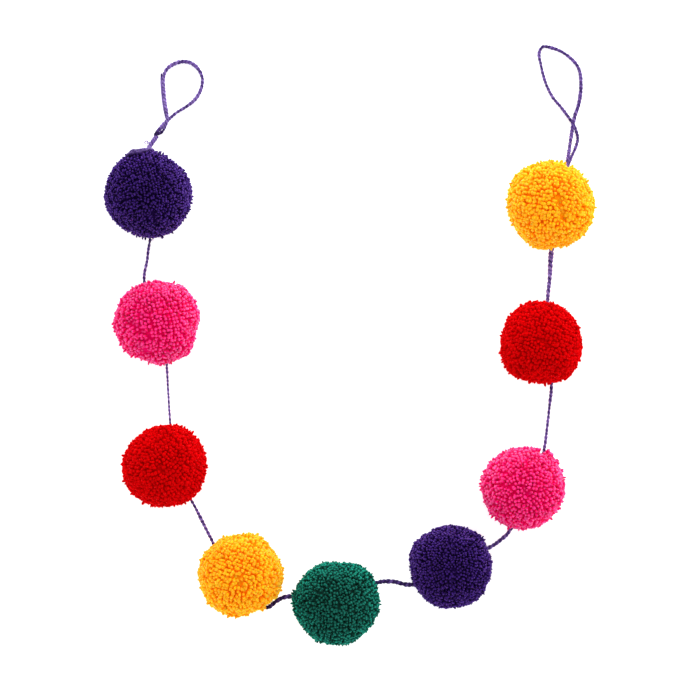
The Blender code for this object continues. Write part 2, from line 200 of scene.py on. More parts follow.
# The pompoms: place, mean diameter, the outline's lumps (how many round the pompom, mm, degrees), the notches where
# a cord sinks in and, with a depth below zero, the tufts (place from the pompom's middle, reach and depth, in mm),
# and the partings (two ends from its middle as the camera sees it, and depth, in mm). Each one's middle lies at a
# share of its diameter over the surface
CENTRE_HEIGHT_SHARE = 0.47
FIRST_SEED = 11
POMPOMS = (
    {
        "node": "pompom_purple_left", "yarn": "purple", "place": (-0.1607, 0.1622), "across": 0.0727,
        "lumps": ((2, 0.75, 97), (4, 0.54, 305), (5, 0.27, 262), (3, 0.21, 51)),
        "partings": (((7.0, -17.0), (8.6, -27.0), 4.0), ((1.0, -20.0), (2.5, -23.0), 2.5)),
    },
    {
        "node": "pompom_pink_left", "yarn": "pink", "place": (-0.1535, 0.0599), "across": 0.0713,
        "lumps": ((3, 0.69, 205), (4, 0.59, 213), (8, 0.48, 321), (7, 0.37, 281), (2, 0.34, 329)),
        "partings": (((-13.5, 10.0), (-12.0, 6.0), 2.5), ((-20.0, -0.5), (-15.0, -2.5), 3.0),
                     ((-11.0, -6.0), (-9.0, -7.5), 2.5), ((-4.5, -10.0), (-2.0, -12.5), 3.0),
                     ((-9.5, -24.0), (-6.0, -25.5), 2.5)),
    },
    {
        "node": "pompom_red_left", "yarn": "red", "place": (-0.1474, -0.0555), "across": 0.0700,
        "lumps": ((3, 0.65, 146), (2, 0.44, 309), (6, 0.12, 279), (4, 0.10, 221)),
        "partings": (((-2.0, 1.0), (2.0, -3.0), 2.5),),
    },
    {
        "node": "pompom_yellow_left", "yarn": "yellow", "place": (-0.0868, -0.1427), "across": 0.0701,
        "lumps": ((4, 0.86, 105), (2, 0.56, 351), (7, 0.41, 287), (3, 0.33, 54), (6, 0.33, 294)),
        "notches": ((-27.6, 21.8, 2.4, 4.5), (24.5, -25.0, 3.4, 2.4), (28.5, -21.8, 3.4, 2.6)),
        "partings": (((-1.0, 3.0), (2.0, -5.0), 3.0),),
    },
    {
        "node": "pompom_green", "yarn": "green", "place": (-0.0099, -0.1645), "across": 0.0710,
        "lumps": ((2, 0.78, 319), (3, 0.65, 248), (6, 0.47, 38), (5, 0.37, 160)),
        "partings": (((-3.0, 2.0), (3.0, -2.0), 2.0),),
    },
    {
        "node": "pompom_purple_right", "yarn": "purple", "place": (0.0816, -0.1358), "across": 0.0696,
        "lumps": ((3, 0.49, 262), (4, 0.40, 130), (7, 0.32, 37), (5, 0.16, 299)),
        "partings": (((0.0, 2.0), (3.0, -4.0), 2.5), ((2.6, 29.5), (1.4, 20.0), 2.0)),
    },
    {
        "node": "pompom_pink_right", "yarn": "pink", "place": (0.1394, -0.0727), "across": 0.0700,
        "lumps": ((3, 0.52, 232), (2, 0.40, 303), (4, 0.31, 112), (6, 0.30, 31)),
        "notches": ((15.2, 30.6, 2.2, 4.5), (21.4, 28.2, 2.6, -2.4)),
        "partings": (((-2.0, 0.0), (2.0, -4.0), 2.5),),
    },
    {
        "node": "pompom_red_right", "yarn": "red", "place": (0.1540, 0.0432), "across": 0.0700,
        "lumps": ((3, 0.76, 93), (4, 0.74, 207), (2, 0.37, 156), (5, 0.28, 274)),
        "partings": (((-1.0, 3.0), (2.0, -2.0), 2.5),),
    },
    {
        "node": "pompom_yellow_right", "yarn": "yellow", "place": (0.1612, 0.1537), "across": 0.0735,
        "lumps": ((4, 0.63, 109), (2, 0.61, 120), (3, 0.46, 316), (6, 0.34, 284)),
        "notches": ((14.0, 32.0, 2.8, 5.0),),
        "partings": (((2.0, 4.0), (7.5, -14.0), 3.5), ((6.5, 5.5), (7.5, 2.0), 2.0)),
    },
)

# How finely lines are stepped, and how far the yarn stays above the surface
SMOOTH_STEPS = 24
FEWEST_STEPS = 8
ROPE_SPACING = 0.5 * MM
FINE_SPACING = 0.3 * MM
FLOOR_CLEARANCE = 0.15 * MM

# A tube of yarn: its sides, how far each end's point stands out in radii, and its fibres' twist for each mm. The
# shift sets each strand's fibres apart from the next one's
TUBE_SIDES = 7
TUBE_POINT = 0.6
TUBE_FIBRE_TWIST = 0.9
FIBRE_SHIFT = 97.0

# The cords' twist: each one's pitch, how it sways, a ply's radius as a share of the cord's width, how much lighter
# one ply is painted than the other as painted light and shade that shows the twist, how much painted shade darkens
# the groove between the plies and how far it reaches, and how the ends taper
MAIN_PITCH = 6.8 * MM
LEFT_LOOP_PITCH = 6.0 * MM
LEFT_TAIL_PITCH = 4.0 * MM
RIGHT_LOOP_PITCH = 5.6 * MM
KNOT_PITCH = 3.2 * MM
CUT_END_PITCH = 3.0 * MM
TWIST_SWAY = 0.4
TWIST_SWAY_LENGTH = 11 * MM
PLY_SHARE = 0.30
PLY_PAINTED_CONTRAST = 0.16
GROOVE_SHADE = 0.50
GROOVE_REACH = 0.55
TAPER_LENGTH = 0.8 * MM
TAPER_LEAST = 0.55

# The cords' uneven width: the length of each wave and its share of the width, and how much lighter it makes them
UNEVEN_WAVES = ((3.1 * MM, 0.03), (7.3 * MM, 0.04), (17 * MM, 0.04))
UNEVEN_LIGHT = 1.6

# The cords' stray fibres: the cord for each one, their lean, where they start in cord widths, reach in mm and width
ROPE_HAIR_EVERY = 2.2 * MM
ROPE_HAIR_LEAN = 0.9
ROPE_HAIR_ROOT = 0.35
ROPE_HAIR_GAMMA = (2.0, 0.28)
ROPE_HAIR_LIMITS = (0.2, 1.1)
ROPE_HAIR_WIDTH = 0.07 * MM

# The wisps' fibres: how far apart they start, how unlike they lean, their width and how low they reach
WISP_ROOT_SPREAD = 0.25 * MM
WISP_LEAN = 0.45
WISP_WIDTH = 0.10 * MM
WISP_CLEARANCE = 0.25 * MM

# The knot's winding, and the spindle inside it, painted dark as the shade between the turns
KNOT_STEPS = 46
KNOT_TUCK_LENGTH = 0.10
KNOT_TUCK_LEAST = 0.25
KNOT_CORE_STEPS = 11
KNOT_CORE_MORE = 1.4 * MM
KNOT_CORE_RADIUS = 1.4 * MM
KNOT_CORE_BLUNTNESS = 1.2
KNOT_CORE_PAINTED_SHADE = (0.05, 0.4)

# The loose end: how its strands stray in degrees and, in mm, in reach and height; their radius, taper and light
# (the first one's, each next one's loss and the spread); and their fibres' lean, reach in mm and width
LOOSE_SPREAD = (1.6, 0.35, 0.9)
LOOSE_RADIUS = 0.55 * MM
LOOSE_TAPER_LENGTH = 2 * MM
LOOSE_TAPER_LEAST = 0.4
LOOSE_LIGHT = (0.60, 0.055, 0.10)
LOOSE_HAIR_LEAN = 0.014
LOOSE_HAIR_REACH = (0.6, 2.0)
LOOSE_HAIR_WIDTH = 0.08 * MM

# A pompom's strands: their closeness and stray, how they drift in two sizes of patch and lean, and how far the
# partings reach and push; then how uneven their length and width are and where the underside starts
PACKING = 0.866
STRAY_SHARE = 0.15
DRIFT = (0.014, 0.005)
LEAN_SPREAD = 0.008
PARTING_WIDTH = 0.075
PARTING_PUSH = 0.020
SWELL = 0.35 * MM
LENGTH_SPREAD = 0.40 * MM
LENGTH_MOST = 1.0 * MM
WIDTH_SPREAD = 0.10
WIDTH_LIMITS = (0.8, 1.25)
LOW_SIDE = -0.3

# Their shape: sides, flattening, the slant of the cut, the painted highlight at the end's middle and the painted
# rim light that makes it lighter round the pompom's side, and where strands start and the core ends as shares of the
# radius
SIDES = 5
SQUEEZE = 0.15
SLANT = 0.40
STRAND_FIBRE_TWIST = 1.1
END_PAINTED_LIGHT = 0.85
END_RIM_PAINTED_LIGHT = 0.15
ROOT_SHARE = 0.66
CORE_SHARE = 0.915
OUTLINE_PULL = 1.6 * MM

# The rings of a strand from its root: how far back from its end in its own widths, how wide, its painted light
# (painted shade deep towards the root), how much of the slanted cut it takes and how much painted rim light makes
# it lighter round the pompom's side than at its top
STRAND_RINGS = (
    (2.40, 0.94, 0.30, 0.0, 0.12),
    (0.90, 1.00, 0.50, 0.5, 0.20),
    (0.25, 0.84, 0.72, 1.0, 0.18),
)

# The strands that stand proud: their share, how far they reach in pitches, their width and their taper
PROUD_SHARE = 0.20
PROUD_REACH = (0.17, 0.58)
PROUD_WIDTH = 0.80
PROUD_TAPER = 0.40

# How far strands stay from the cords, near the pompom's outside within a share of its radius
CORD_SHELL = 0.30
CORD_CLEARANCE = 1.7 * MM

# A pompom's fine fibres: how many, their lean, their reach and how deep they start in mm, how far apart they start,
# their width and their colour's place on the painted light ramp (a light one, which lifts the rims), and how low
# they reach
HAIRS = 3600
HAIR_LEAN = 0.55
HAIR_GAMMA = (2.2, 0.42)
HAIR_LIMITS = (0.3, 2.4)
HAIR_SINK = 0.8
HAIR_ROOT_SPREAD = 0.5 * MM
HAIR_WIDTH = 0.09 * MM
HAIR_PAINTED_LIGHT = 0.86
HAIR_CLEARANCE = 0.5 * MM

# The yarns: how fully a strand fills its place and the strands' pitch in mm; screen colours from a strand's root,
# 0, to its cut end, 1, which paint shade deep between the strands and a highlight on the ends (on the cords, from
# the painted shade of the groove to the lightest stretches); the sheen, its tint and the gloss; how much light goes
# inside and how far it spreads there in each colour; how unlike the strands and the patches are; the bump; and a
# painted glow that lifts the shade of the bright yarns
POMPOM_YARN = {"places": (0.0, 0.5, 0.7, 0.85, 1.0), "patches": 0.35, "bump": 0.4}
YARNS = {
    "purple": {
        "full": 0.80, "pitch": 2.60,
        "colours": ((22, 5, 54), (30, 9, 66), (46, 21, 91), (62, 35, 114), (108, 80, 166)),
        "sheen": 0.60, "tint": (150, 104, 224), "gloss": 0.03,
        "inside": 0.3, "spread": (0.5, 0.3, 1.0), "unlike": 0.28,
    },
    "pink": {
        "full": 0.84, "pitch": 3.30,
        "colours": ((224, 0, 88), (234, 0, 98), (246, 28, 118), (250, 66, 140), (250, 128, 178)),
        "sheen": 0.60, "tint": (255, 165, 212), "gloss": 0.03,
        "inside": 0.5, "spread": (1.0, 0.2, 0.5), "unlike": 0.20, "painted_glow": ((255, 0, 110), 0.02),
    },
    "red": {
        "full": 1.06, "pitch": 3.10,
        "colours": ((169, 0, 1), (178, 0, 1), (183, 1, 3), (188, 1, 4), (195, 2, 7)),
        "sheen": 0.0, "tint": (255, 60, 60), "gloss": 0.02,
        "inside": 0.9, "spread": (1.0, 0.1, 0.1), "unlike": 0.08, "painted_glow": ((205, 0, 2), 0.14),
    },
    "yellow": {
        "full": 1.10, "pitch": 3.20,
        "colours": ((250, 130, 1), (250, 155, 8), (250, 168, 22), (250, 178, 34), (250, 192, 62)),
        "sheen": 0.10, "tint": (255, 225, 120), "gloss": 0.06,
        "inside": 1.0, "spread": (1.0, 0.7, 0.1), "unlike": 0.06, "painted_glow": ((255, 130, 0), 0.085),
    },
    "green": {
        "full": 0.84, "pitch": 2.90,
        "colours": ((18, 56, 47), (20, 65, 55), (21, 80, 69), (25, 106, 91), (26, 178, 148)),
        "sheen": 0.65, "tint": (60, 215, 180), "gloss": 0.03,
        "inside": 0.3, "spread": (0.2, 1.0, 0.8), "unlike": 0.32,
    },
}
CORD_YARN = {
    "places": (0.0, 0.25, 0.5, 1.0),
    "colours": ((28, 14, 54), (54, 35, 88), (89, 65, 132), (152, 125, 196)),
    "sheen": 0.1, "tint": (150, 120, 200), "gloss": 0.10,
    "inside": 0.2, "spread": (0.5, 0.3, 1.0), "unlike": 0.1, "patches": 0.3, "bump": 0.7,
}
YARN_DEPTH = 1.6 * MM
PATCH_SCALE = 70.0
FIBRE_STRETCH = (2.2, 2.2, 0.6)
FIBRE_SHARE = 0.2
RELIEF_DEPTH = 0.35 * MM

# The floor, the pale room and the soft light from the top of the picture
FLOOR_RADIUS = 6.0
FLOOR_GRAIN_SCALE = 900.0
FLOOR_LEVELS = (0.94, 0.97)
FLOOR_GLOW = 0.54
ROOM_ZENITH = 0.67
ROOM_HORIZON = 1.95
ROOM_FADE = (0.10, 0.80)
KEY_PLACE = (0.55, 1.2, 1.05)
KEY_SIZE = 0.9
KEY_POWER = 15.0


def screen_colour(red, green, blue):
    """The linear colour of three screen values from 0 to 255."""
    linear = []
    for value in (red, green, blue):
        share = value / 255
        linear.append(share / 12.92 if share <= 0.04045 else ((share + 0.055) / 1.055) ** 2.4)
    return (*linear, 1.0)


def new_camera():
    data = bpy.data.cameras.new("camera")
    data.sensor_width = SENSOR_WIDTH
    data.lens = SENSOR_WIDTH * CAMERA_TO_PICTURE / PICTURE_WIDTH
    data.clip_start, data.clip_end = CAMERA_CLIP
    camera = bpy.data.objects.new("camera", data)
    bpy.context.scene.collection.objects.link(camera)
    camera.location = CAMERA_PLACE
    bpy.context.scene.camera = camera


def unit(vectors):
    return vectors / np.linalg.norm(vectors, axis=-1, keepdims=True)


def smooth_line(route, spacing):
    """Points at an even spacing on the smooth (Catmull-Rom) curve through a route.

    It gives the points, how far along the curve each lies, and how far along it the route's own points lie."""
    knots = np.array(route, float)
    padded = np.vstack([2 * knots[0] - knots[1], knots, 2 * knots[-1] - knots[-2]])
    t = np.linspace(0, 1, SMOOTH_STEPS, endpoint=False)[:, None]
    spans = []
    for before, start, end, after in zip(padded, padded[1:], padded[2:], padded[3:]):
        spans.append(
            0.5 * (2 * start + (end - before) * t + (2 * before - 5 * start + 4 * end - after) * t**2
                   + (3 * start - before - 3 * end + after) * t**3)
        )
    fine = np.vstack([*spans, knots[-1:]])
    along = np.concatenate([[0.0], np.cumsum(np.linalg.norm(np.diff(fine, axis=0), axis=1))])
    count = max(FEWEST_STEPS, int(round(along[-1] / spacing)))
    even = np.linspace(0.0, along[-1], count + 1)
    points = np.column_stack([np.interp(even, along, fine[:, axis]) for axis in range(3)])
    return points, even, along[::SMOOTH_STEPS]


def carried_frames(points):
    """Two directions square to a line at each of its points, carried along it without twisting."""
    tangents = unit(np.gradient(points, axis=0))
    normal = np.cross(tangents[0], (0.0, 0.0, 1.0))
    if np.linalg.norm(normal) < 1e-3:
        normal = np.cross(tangents[0], (0.0, 1.0, 0.0))
    normals = [normal / np.linalg.norm(normal)]
    for tangent in tangents[1:]:
        normal = normals[-1] - tangent * (normals[-1] @ tangent)
        normals.append(normal / np.linalg.norm(normal))
    normals = np.array(normals)
    return tangents, normals, np.cross(tangents, normals)


class MeshParts:
    """Points, faces and per-point values gathered from many small closed shapes, for one mesh."""

    def __init__(self):
        self.points, self.values, self.fibres, self.count = [], [], [], 0
        self.faces = {3: [], 4: []}

    def add(self, points, values, fibres, *groups):
        """values holds (strand, painted light) for each point, and fibres its place in its own strand, in mm."""
        points = np.asarray(points, float).reshape(-1, 3)
        self.points.append(points)
        self.values.append(np.asarray(values, float).reshape(-1, 2))
        self.fibres.append(np.asarray(fibres, float).reshape(-1, 3))
        for group in groups:
            group = np.asarray(group)
            self.faces[group.shape[-1]].append(group.reshape(-1, group.shape[-1]) + self.count)
        self.count += len(points)

    def mesh(self, name):
        groups = [np.vstack(faces) for faces in self.faces.values() if faces]
        points = np.vstack(self.points)
        corners = np.concatenate([group.ravel() for group in groups])
        sizes = np.concatenate([np.full(len(group), group.shape[1]) for group in groups])
        starts = np.concatenate([[0], np.cumsum(sizes)[:-1]])
        mesh = bpy.data.meshes.new(name)
        mesh.vertices.add(len(points))
        mesh.vertices.foreach_set("co", points.astype(np.float32).ravel())
        mesh.loops.add(len(corners))
        mesh.loops.foreach_set("vertex_index", corners.astype(np.int32))
        mesh.polygons.add(len(sizes))
        mesh.polygons.foreach_set("loop_start", starts.astype(np.int32))
        values = np.vstack(self.values).astype(np.float32)
        for column, name_of_column in enumerate(("strand", "depth")):
            layer = mesh.attributes.new(name_of_column, "FLOAT", "POINT")
            layer.data.foreach_set("value", np.ascontiguousarray(values[:, column]))
        layer = mesh.attributes.new("fibre", "FLOAT_VECTOR", "POINT")
        layer.data.foreach_set("vector", np.vstack(self.fibres).astype(np.float32).ravel())
        mesh.update(calc_edges=True)
        mesh.shade_smooth()
        return mesh


def add_piece(name, mesh, material, slot, *nodes):
    piece = bpy.data.objects.new(name, mesh)
    bpy.context.scene.collection.objects.link(piece)
    mesh.materials.append(material)
    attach(piece, BODY)
    if nodes:
        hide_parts(*nodes)
    return piece


def add_tube(parts, points, radii, strand, lightness, inward=None, sides=TUBE_SIDES):
    """A closed tube of changing radius along points, with a point at each end.

    It has painted shade on the side that faces inward, into the groove."""
    tangents, normals, binormals = carried_frames(points)
    along = np.concatenate([[0.0], np.cumsum(np.linalg.norm(np.diff(points, axis=0), axis=1))])
    angles = np.arange(sides) * 2 * math.pi / sides
    cos, sin = np.cos(angles), np.sin(angles)
    around = cos[None, :, None] * normals[:, None] + sin[None, :, None] * binormals[:, None]
    rings = points[:, None] + radii[:, None, None] * around
    count = len(points)
    ends = np.array([
        points[0] - tangents[0] * radii[0] * TUBE_POINT,
        points[-1] + tangents[-1] * radii[-1] * TUBE_POINT,
    ])
    twist = along[:, None] / MM * TUBE_FIBRE_TWIST
    fibres = np.stack(
        [np.cos(angles + twist) * radii[:, None] / MM, np.sin(angles + twist) * radii[:, None] / MM,
         np.repeat(along[:, None] / MM, sides, 1)], axis=-1,
    )
    fibres = np.vstack([fibres.reshape(-1, 3), [[0, 0, 0], [0, 0, along[-1] / MM]]]) + strand * FIBRE_SHIFT
    shaded = np.repeat(lightness[:, None], sides, 1)
    # Painted shade: the side of each ply that faces into the groove is drawn darker
    if inward is not None:
        facing = (around * inward[:, None]).sum(axis=-1)
        shaded = shaded - GROOVE_SHADE * np.clip(facing + GROOVE_REACH, 0, 1)
    light = np.concatenate([shaded.ravel(), [lightness[0], lightness[-1]]]).clip(0, 1)
    values = np.column_stack([np.full(count * sides + 2, strand), light])
    ring = np.arange(sides)
    after = np.roll(ring, -1)
    base = (np.arange(count - 1) * sides)[:, None]
    quads = np.stack([base + ring, base + after, base + sides + after, base + sides + ring], axis=-1)
    first = np.stack([after, ring, np.full(sides, count * sides)], axis=-1)
    top = (count - 1) * sides
    last = np.stack([top + ring, top + after, np.full(sides, count * sides + 1)], axis=-1)
    parts.add(np.vstack([rings.reshape(-1, 3), ends]), values, fibres, quads, first, last)


def add_hairs(parts, roots, tips, width, strand, depth):
    """Thin closed three-sided spikes, from roots to tips."""
    count = len(roots)
    way = unit(tips - roots)
    side = unit(np.cross(way, np.where(np.abs(way[:, 2:]) < 0.8, (0.0, 0.0, 1.0), (0.0, 1.0, 0.0))))
    other = np.cross(way, side)
    corners = []
    for angle in (0.0, 2 * math.pi / 3, 4 * math.pi / 3):
        corners.append(roots + width * (math.cos(angle) * side + math.sin(angle) * other))
    points = np.stack([*corners, tips], axis=1)
    base = (np.arange(count) * 4)[:, None]
    faces = np.concatenate([base + (0, 1, 3), base + (1, 2, 3), base + (2, 0, 3), base + (2, 1, 0)])
    values = np.stack([np.repeat(strand[:, None], 4, 1), np.repeat(depth[:, None], 4, 1)], axis=-1)
    parts.add(points, values, np.zeros((count * 4, 3)), faces)


def add_rope_hairs(parts, points, along, width, frames, chance):
    """Stray fibres all along a cord."""
    tangents, normals, binormals = frames
    count = int(along[-1] / ROPE_HAIR_EVERY)
    number = chance.integers(2, len(points) - 2, count)
    angle = chance.uniform(0, 2 * math.pi, count)
    out = np.cos(angle)[:, None] * normals[number] + np.sin(angle)[:, None] * binormals[number]
    lean = chance.normal(0, ROPE_HAIR_LEAN, count)[:, None] * tangents[number]
    roots = points[number] + out * width[number, None] * ROPE_HAIR_ROOT
    reach = chance.gamma(*ROPE_HAIR_GAMMA, count).clip(*ROPE_HAIR_LIMITS)[:, None] * MM
    tips = points[number] + out * width[number, None] * 0.5 + unit(out + lean) * reach
    tips[:, 2] = np.maximum(tips[:, 2], FLOOR_CLEARANCE)
    add_hairs(
        parts, roots, tips, ROPE_HAIR_WIDTH, chance.uniform(0, 1, count), chance.uniform(0.5, 1, count)
    )


def rope(route, look, pitch, seed, plies=2, spacing=ROPE_SPACING, before=(), after=()):
    """A twisted cord as mesh parts, and the points of its middle line.

    before and after are places that it runs on to, past the ends of its route."""
    chance = np.random.default_rng(seed)
    points, along, knots = smooth_line((*before, *route, *after), spacing)
    look = np.array(look, float)
    at = np.interp(look[:, 0] + len(before), np.arange(len(knots)), knots)
    width, gap, light, right = (np.interp(along, at, column) for column in look[:, 1:].T)
    width, gap, right = width * MM, gap * MM, right * MM
    points = points + right[:, None] * unit(np.cross(np.gradient(points, axis=0), (0.0, 0.0, 1.0)))
    uneven = np.zeros_like(along)
    for length, share in UNEVEN_WAVES:
        uneven += share * np.sin(2 * math.pi * along / length + chance.uniform(0, 2 * math.pi))
    width = width * (1 + uneven)
    points[:, 2] = np.maximum(points[:, 2], (width + gap) / 2 + FLOOR_CLEARANCE)
    light = np.clip(light + UNEVEN_LIGHT * uneven, 0, 1)
    frames = carried_frames(points)
    _, normals, binormals = frames
    turn = -2 * math.pi * along / pitch + TWIST_SWAY * np.sin(2 * math.pi * along / TWIST_SWAY_LENGTH)
    parts = MeshParts()
    for ply in range(plies):
        radius = width * (PLY_SHARE if plies == 2 else 0.5)
        offset = width * 0.5 - radius + gap / 2
        angle = turn + 2 * math.pi * ply / plies
        out = np.cos(angle)[:, None] * normals + np.sin(angle)[:, None] * binormals
        middle = points + offset[:, None] * out
        taper = np.clip(np.minimum(along, along[-1] - along) / TAPER_LENGTH, TAPER_LEAST, 1.0)
        inward = -out if plies == 2 else None
        # One ply is painted lighter than the other: painted light and shade that shows the twist
        ply_light = np.clip(light + PLY_PAINTED_CONTRAST * (ply - 0.5), 0, 1)
        add_tube(parts, middle, radius * taper, chance.uniform(), ply_light, inward)
    add_rope_hairs(parts, points, along, width, frames, chance)
    return parts, points


def knot_route():
    """The winding of a small knot about its own axis, tucked in at both ends."""
    share = np.linspace(0, 1, KNOT_STEPS)
    angle = 2 * math.pi * KNOT_WINDS * share
    along = KNOT_REACH * (2 * share - 1)
    tuck = np.minimum(1.0, np.minimum(share, 1 - share) / KNOT_TUCK_LENGTH + KNOT_TUCK_LEAST)
    radius = KNOT_RADII[0] + (KNOT_RADII[1] - KNOT_RADII[0]) * share
    across = radius * tuck * np.cos(angle)
    up = radius * tuck * np.sin(angle)
    cos, sin = math.cos(KNOT_TURN), math.sin(KNOT_TURN)
    x = cos * across - sin * along
    y = sin * across + cos * along
    return np.column_stack([x, y, up]) + KNOT_PLACE


def add_knot_core(parts):
    """The spindle inside the knot, painted dark as the shade that shows between its turns; it joins the knot to the
    cords.
    """
    line = np.linspace(-1, 1, KNOT_CORE_STEPS)
    way = np.array((-math.sin(KNOT_TURN), math.cos(KNOT_TURN), 0.0))
    core = np.array(KNOT_PLACE) + (KNOT_REACH + KNOT_CORE_MORE) * line[:, None] * way
    radii = KNOT_CORE_RADIUS * np.sqrt(KNOT_CORE_BLUNTNESS - line**2)
    add_tube(parts, core, radii, 0.5, np.linspace(*KNOT_CORE_PAINTED_SHADE, KNOT_CORE_STEPS))


def add_wisp(parts, place, way, count, reach, spread, chance):
    """A few loose fibres that start together and fan out."""
    roots = np.array(place) + chance.normal(0, WISP_ROOT_SPREAD, (count, 3))
    lean = unit(unit(np.array(way, float)) + chance.normal(0, WISP_LEAN * spread, (count, 3)))
    tips = roots + lean * (reach * MM * chance.uniform(0.4, 1.0, (count, 1)))
    for points in (roots, tips):
        points[:, 2] = np.maximum(points[:, 2], WISP_CLEARANCE)
    add_hairs(parts, roots, tips, WISP_WIDTH, chance.uniform(0, 1, count), chance.uniform(0.8, 1, count))


def add_loose_strand(parts, number, middle, chance):
    """One of the strands of the loose end over the first pompom, with its own fibres."""
    turns, reach, up, inward, lift = np.array(LOOSE_END).T
    turns = np.radians(turns + chance.normal(0, LOOSE_SPREAD[0], len(turns)))
    reach = (reach - inward * number + chance.normal(0, LOOSE_SPREAD[1], len(reach))) * MM
    height = (up + lift * number + chance.normal(0, LOOSE_SPREAD[2], len(up))) * MM
    route = np.column_stack([reach * np.cos(turns), reach * np.sin(turns), height]) + middle
    line, along, _ = smooth_line(route, ROPE_SPACING)
    taper = np.clip(np.minimum(along, along[-1] - along) / LOOSE_TAPER_LENGTH, LOOSE_TAPER_LEAST, 1.0)
    lightness = LOOSE_LIGHT[0] - LOOSE_LIGHT[1] * number + LOOSE_LIGHT[2] * chance.normal()
    light = np.full(len(line), lightness).clip(0.1, 0.8)
    add_tube(parts, line, LOOSE_RADIUS * taper, chance.uniform(), light)
    roots = line[chance.integers(4, len(line) - 4, LOOSE_HAIRS)]
    lean = unit(roots - middle + chance.normal(0, LOOSE_HAIR_LEAN, roots.shape))
    tips = roots + lean * chance.uniform(*LOOSE_HAIR_REACH, (LOOSE_HAIRS, 1)) * MM
    add_hairs(
        parts, roots, tips, LOOSE_HAIR_WIDTH,
        chance.uniform(0, 1, LOOSE_HAIRS), chance.uniform(0.4, 0.9, LOOSE_HAIRS),
    )


def add_curl_fibre(parts, chance):
    """One fine fibre that leaves the cord and curls up beside it."""
    angle = np.linspace(0, 2 * math.pi * CURL_TURNS, CURL_STEPS) + chance.uniform(-0.5, 0.5)
    radius = CURL_RADIUS * chance.uniform(0.7, 1.15)
    rise = np.linspace(*CURL_RISE, CURL_STEPS) * MM
    ring = np.column_stack([radius * np.cos(angle), radius * np.sin(angle), rise])
    route = np.vstack([CURL_START, ring + CURL_PLACE + chance.normal(0, CURL_SPREAD, 3)])
    line, _, _ = smooth_line(route, CURL_SPACING)
    light = np.full(len(line), chance.uniform(0.9, 1.0))
    add_tube(parts, line, np.full(len(line), CURL_THICKNESS), chance.uniform(), light, sides=4)


def link(tree, start, end):
    tree.links.new(start, end)


def add_node(tree, kind, **settings):
    node = tree.nodes.new(kind)
    for name, value in settings.items():
        if name in node.inputs:
            node.inputs[name].default_value = value
        else:
            setattr(node, name, value)
    return node


def attribute(tree, name):
    return add_node(tree, "ShaderNodeAttribute", attribute_type="GEOMETRY", attribute_name=name)


def combine(tree, operation, first, second, third=None):
    node = add_node(tree, "ShaderNodeMath", operation=operation)
    for socket, value in zip(node.inputs, (first, second, third)):
        if value is None:
            continue
        if isinstance(value, (int, float)):
            socket.default_value = value
        else:
            link(tree, value, socket)
    return node.outputs[0]


def vary(tree, source, share, around):
    """A value moved up or down round another by a share of how far its source lies from a half."""
    return combine(tree, "MULTIPLY_ADD", combine(tree, "SUBTRACT", source, 0.5), share, around)


def set_shader(shader, yarn):
    settings = {
        "Roughness": 0.92,
        "Specular IOR Level": yarn["gloss"],
        "Sheen Weight": yarn["sheen"],
        "Sheen Roughness": 0.30,
        "Sheen Tint": screen_colour(*yarn["tint"]),
        "Subsurface Weight": yarn["inside"],
        "Subsurface Radius": yarn["spread"],
        "Subsurface Scale": YARN_DEPTH,
    }
    # Painted glow: a weak emission in the yarn's own hue that lifts its shade, as light scattered through it would
    if "painted_glow" in yarn:
        colour, strength = yarn["painted_glow"]
        settings["Emission Color"] = screen_colour(*colour)
        settings["Emission Strength"] = strength
    for name, value in settings.items():
        shader.inputs[name].default_value = value


def yarn_look(name, yarn):
    """Yarn's material: its colour runs from painted shade at a strand's root to a painted highlight at its cut end.

    Each strand is a little lighter or darker than the next, with soft patches over the whole and fine fibres
    along each strand."""
    material = bpy.data.materials.new(name)
    material.use_nodes = True
    tree = material.node_tree
    shader = tree.nodes["Principled BSDF"]
    set_shader(shader, yarn)
    place = add_node(tree, "ShaderNodeTexCoord")
    patches = add_node(tree, "ShaderNodeTexNoise", Scale=PATCH_SCALE, Detail=2.0, Roughness=0.5)
    link(tree, place.outputs["Object"], patches.inputs["Vector"])
    stretch = add_node(tree, "ShaderNodeMapping")
    stretch.inputs["Scale"].default_value = FIBRE_STRETCH
    link(tree, attribute(tree, "fibre").outputs["Vector"], stretch.inputs["Vector"])
    fine = add_node(tree, "ShaderNodeTexNoise", Scale=1.0, Detail=3.0, Roughness=0.6)
    link(tree, stretch.outputs["Vector"], fine.inputs["Vector"])
    strand = attribute(tree, "strand").outputs["Fac"]
    depth = attribute(tree, "depth").outputs["Fac"]
    ramp = add_node(tree, "ShaderNodeValToRGB")
    steps = ramp.color_ramp.elements
    while len(steps) < len(yarn["places"]):
        steps.new(0.5)
    for step, position, colour in zip(steps, yarn["places"], yarn["colours"]):
        step.position = position
        step.color = screen_colour(*colour)
    # The ramp's place is the painted light: painted shade towards a strand's root, a painted highlight at its end
    link(tree, vary(tree, fine.outputs["Fac"], FIBRE_SHARE, depth), ramp.inputs["Fac"])
    shade = add_node(tree, "ShaderNodeHueSaturation")
    value = vary(tree, strand, yarn["unlike"], 1.0)
    value = vary(tree, patches.outputs["Fac"], yarn["patches"], value)
    link(tree, value, shade.inputs["Value"])
    link(tree, ramp.outputs["Color"], shade.inputs["Color"])
    link(tree, shade.outputs["Color"], shader.inputs["Base Color"])
    relief = add_node(tree, "ShaderNodeBump", Strength=yarn["bump"], Distance=RELIEF_DEPTH)
    link(tree, fine.outputs["Fac"], relief.inputs["Height"])
    link(tree, relief.outputs["Normal"], shader.inputs["Normal"])
    return material


